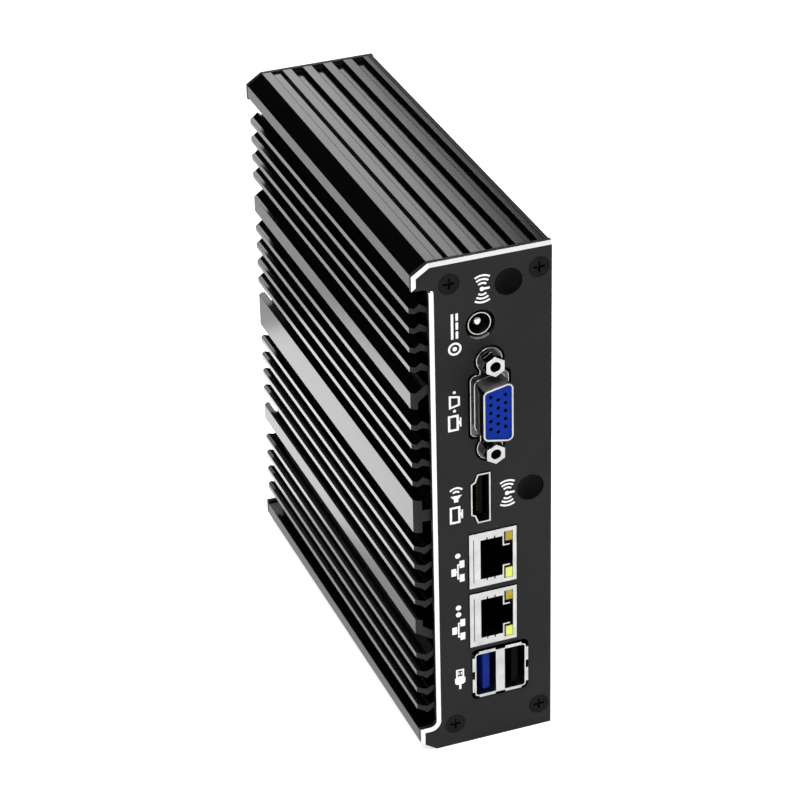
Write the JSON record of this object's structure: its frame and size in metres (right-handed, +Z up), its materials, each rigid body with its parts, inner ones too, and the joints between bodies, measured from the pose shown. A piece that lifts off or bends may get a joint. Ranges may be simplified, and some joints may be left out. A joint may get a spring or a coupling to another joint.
{
  "type": "mini pc",
  "caption": "Fanless mini computer: finned heatsink case with grooved sides, stepped end plates with bright edges, network, display and USB sockets.",
  "frame": {"origin": "on the support plane, under the middle of the whole footprint (fin tips to feet across, display socket shell to power button along)", "axes": "+Z up with the case standing on its narrow side, -Y out of the connector face, +Y out of the power button face, -X out of the fins, +X out of the bottom cover and its feet"},
  "size_m": [0.0396, 0.1338, 0.144],
  "materials": {
    "black_anodised": "satin black anodised, extrusion grain along the depth",
    "black_plate": "matt black anodised sheet with a bright-cut edge bevel",
    "black_steel": "black oxide",
    "nickel_steel": "bright nickel plated",
    "bare_aluminium": "machined",
    "gold": "gold flashed contacts",
    "black_plastic": "matt moulded",
    "blue_plastic": "matt moulded",
    "usb_blue_plastic": "matt moulded",
    "cream_metal": "plated pin",
    "amber_lens": "tinted clear",
    "green_lens": "tinted clear",
    "clear_lens": "clear",
    "lamp_white": "moulded lamp body",
    "feet_rubber": "soft black",
    "pad_grey": "soft silicone pad",
    "board_green": "solder mask over laminate",
    "chip_black": "moulded package",
    "silicon": "polished die back",
    "socket_plastic": "moulded socket"
  },
  "bodies": {
    "case": {"heatsink_housing": "black_anodised", "bottom_cover": "black_plate", "io_panel": "black_plate", "front_panel": "black_plate", "io_panel_screws": "black_steel", "front_panel_screws": "black_steel", "cover_screws": "black_steel", "rubber_feet": "feet_rubber", "bracket_nuts": "nickel_steel", "antenna_plugs": "black_plastic", "motherboard": "board_green", "board_standoffs": "nickel_steel", "board_screws": "nickel_steel", "processor_package": "board_green", "processor_die": "silicon", "thermal_pad": "pad_grey", "heat_spreader": "bare_aluminium", "dc_jack_body": "black_plastic", "dc_jack_sleeve": "nickel_steel", "dc_jack_pin": "cream_metal", "vga_shell": "nickel_steel", "vga_insulator": "blue_plastic", "vga_contacts": "gold", "vga_jackscrews": "nickel_steel", "hdmi_shell": "nickel_steel", "hdmi_tongue": "black_plastic", "hdmi_contacts": "gold", "lan_shells": "nickel_steel", "lan_bodies": "black_plastic", "lan_contacts": "gold", "lan_activity_lamps": "amber_lens", "lan_link_lamps": "green_lens", "usb_stack_shell": "nickel_steel", "usb_stack_body": "black_plastic", "usb3_tongue": "usb_blue_plastic", "usb2_tongue": "black_plastic", "usb_contacts": "gold", "front_usb_shells": "nickel_steel", "front_usb_tongues": "black_plastic", "power_switch_body": "black_plastic", "light_pipes": "clear_lens", "indicator_lamps": "lamp_white", "memory_socket": "socket_plastic", "memory_board": "board_green", "memory_chips": "chip_black", "storage_socket": "socket_plastic", "storage_board": "board_green", "storage_chips": "chip_black", "wireless_socket": "socket_plastic", "wireless_board": "board_green", "wireless_shield": "nickel_steel", "card_posts": "nickel_steel", "card_screws": "nickel_steel", "clock_battery": "nickel_steel", "battery_holder": "socket_plastic", "board_parts": "chip_black"},
    "power_button": {"power_button_cap": "bare_aluminium"},
    "power_switch": {"power_switch_plunger": "black_plastic"},
    "memory_latch_upper": {"memory_latch_upper": "nickel_steel"},
    "memory_latch_lower": {"memory_latch_lower": "nickel_steel"}
  },
  "joints": [
    {"name": "power_button_press", "type": "slide", "parent": "case", "child": "power_button", "axis": [0, -1, 0], "range_m": [0, 0.0005]},
    {"name": "power_switch_press", "type": "slide", "parent": "case", "child": "power_switch", "axis": [0, -1, 0], "range_m": [0, 0.0005]},
    {"name": "memory_latch_upper_swing", "type": "hinge", "parent": "case", "child": "memory_latch_upper", "pos_m": [-0.00275, -0.018, 0.1273], "axis": [1, 0, 0], "range_deg": [0, 8]},
    {"name": "memory_latch_lower_swing", "type": "hinge", "parent": "case", "child": "memory_latch_lower", "pos_m": [-0.00275, -0.018, 0.0567], "axis": [-1, 0, 0], "range_deg": [0, 8]}
  ],
  "couplings": [
    {"joint": "power_switch_press", "follows": "power_button_press", "ratio": 1}
  ]
}
